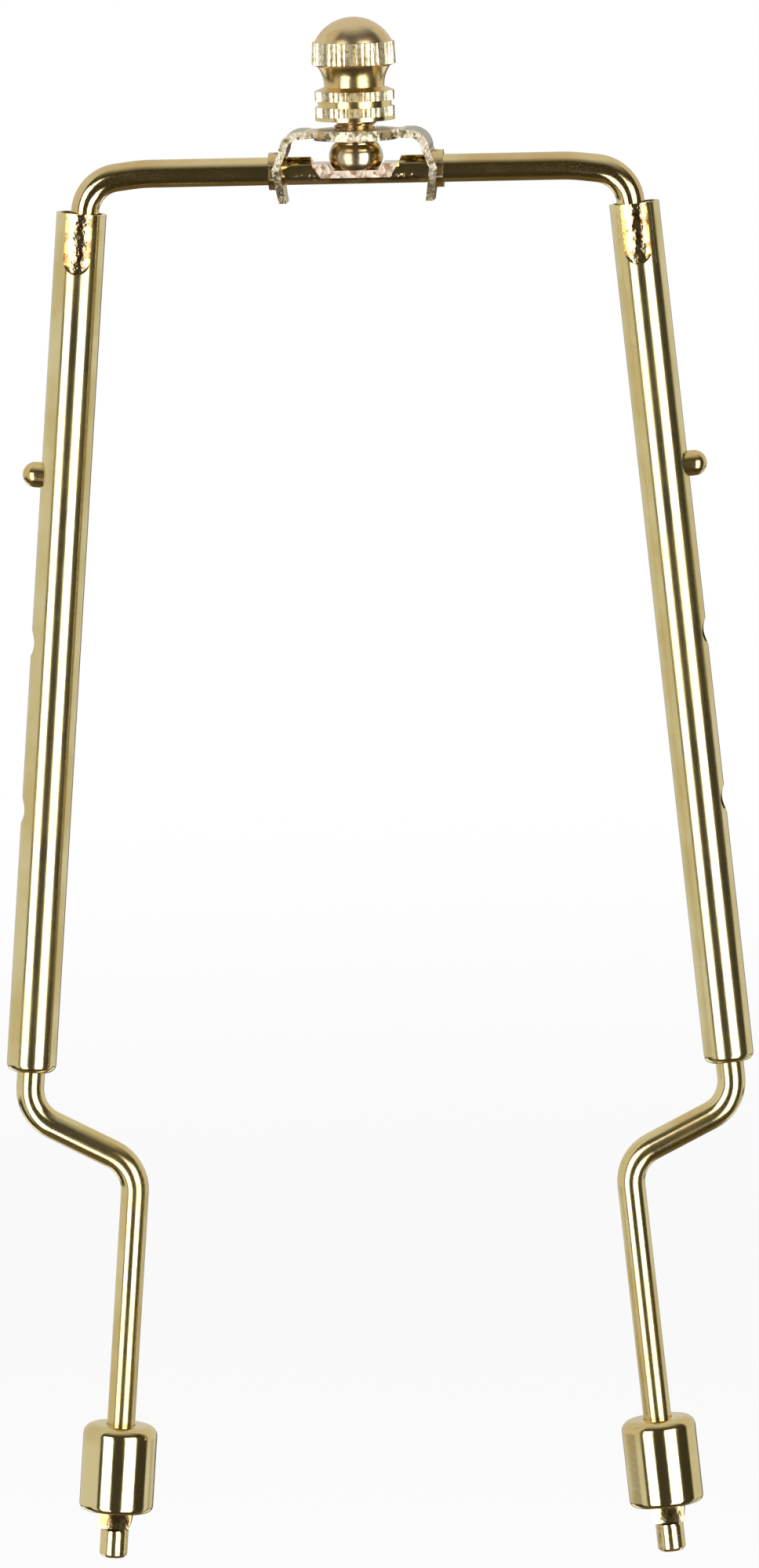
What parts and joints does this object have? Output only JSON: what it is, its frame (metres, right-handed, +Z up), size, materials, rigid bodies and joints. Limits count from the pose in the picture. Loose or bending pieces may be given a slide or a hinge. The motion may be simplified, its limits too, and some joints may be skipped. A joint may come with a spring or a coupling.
{
  "type": "lamp harp",
  "caption": "Adjustable lamp harp: wire bow with threaded post and knurled finial, two tubes, and sliding jogged legs with spring buttons and locking ferrules.",
  "frame": {"origin": "midway between the two leg tips, level with their lowest edge, legs pushed fully in", "axes": "+Z up towards the finial, +X across the harp to the right leg as seen from the front, +Y away from the viewer"},
  "size_m": [0.113, 0.0126, 0.2331],
  "materials": {
    "plated_steel": "bright plated",
    "turned_brass": "polished",
    "plain_steel": "plain",
    "spring_steel": "blued"
  },
  "bodies": {
    "frame": {"top_bow": "plated_steel", "saddle_strap": "plated_steel", "left_tube": "plated_steel", "right_tube": "plated_steel"},
    "stud": {"stud": "turned_brass"},
    "finial": {"finial": "turned_brass"},
    "left_leg": {"left_leg_rod": "plated_steel", "left_slider": "plain_steel", "left_button_spring": "spring_steel"},
    "left_button": {"left_button": "turned_brass"},
    "left_ferrule": {"left_ferrule": "plated_steel"},
    "right_leg": {"right_leg_rod": "plated_steel", "right_slider": "plain_steel", "right_button_spring": "spring_steel"},
    "right_button": {"right_button": "turned_brass"},
    "right_ferrule": {"right_ferrule": "plated_steel"}
  },
  "joints": [
    {"name": "stud_spin", "type": "hinge", "parent": "frame", "child": "stud", "pos_m": [0, 0, 0.21634], "axis": [0, 0, 1], "range_deg": [-516.8, 2529.7]},
    {"name": "finial_climb", "type": "slide", "parent": "stud", "child": "finial", "axis": [0, 0, 1], "range_m": [-0.00134, 0.0066]},
    {"name": "left_leg_slide", "type": "slide", "parent": "frame", "child": "left_leg", "axis": [-0.0872, 0, -0.9962], "range_m": [0, 0.0508], "deforming": ["left_button"]},
    {"name": "left_button_press", "type": "slide", "parent": "left_leg", "child": "left_button", "axis": [-0.9962, 0, 0.0872], "range_m": [-0.00345, 0], "stiffness_N_per_m": 800, "springref_m": 0.001, "deforming": ["left_button_spring"]},
    {"name": "left_ferrule_lift", "type": "slide", "parent": "left_leg", "child": "left_ferrule", "axis": [0.0872, 0, 0.9962], "range_m": [0, 0.034]},
    {"name": "right_leg_slide", "type": "slide", "parent": "frame", "child": "right_leg", "axis": [0.0872, 0, -0.9962], "range_m": [0, 0.0508], "deforming": ["right_button"]},
    {"name": "right_button_press", "type": "slide", "parent": "right_leg", "child": "right_button", "axis": [0.9962, 0, 0.0872], "range_m": [-0.00345, 0], "stiffness_N_per_m": 800, "springref_m": 0.001, "deforming": ["right_button_spring"]},
    {"name": "right_ferrule_lift", "type": "slide", "parent": "right_leg", "child": "right_ferrule", "axis": [-0.0872, 0, 0.9962], "range_m": [0, 0.034]}
  ],
  "couplings": [
    {"joint": "stud_spin", "follows": "finial_climb", "rad_per_m": 6679}
  ]
}
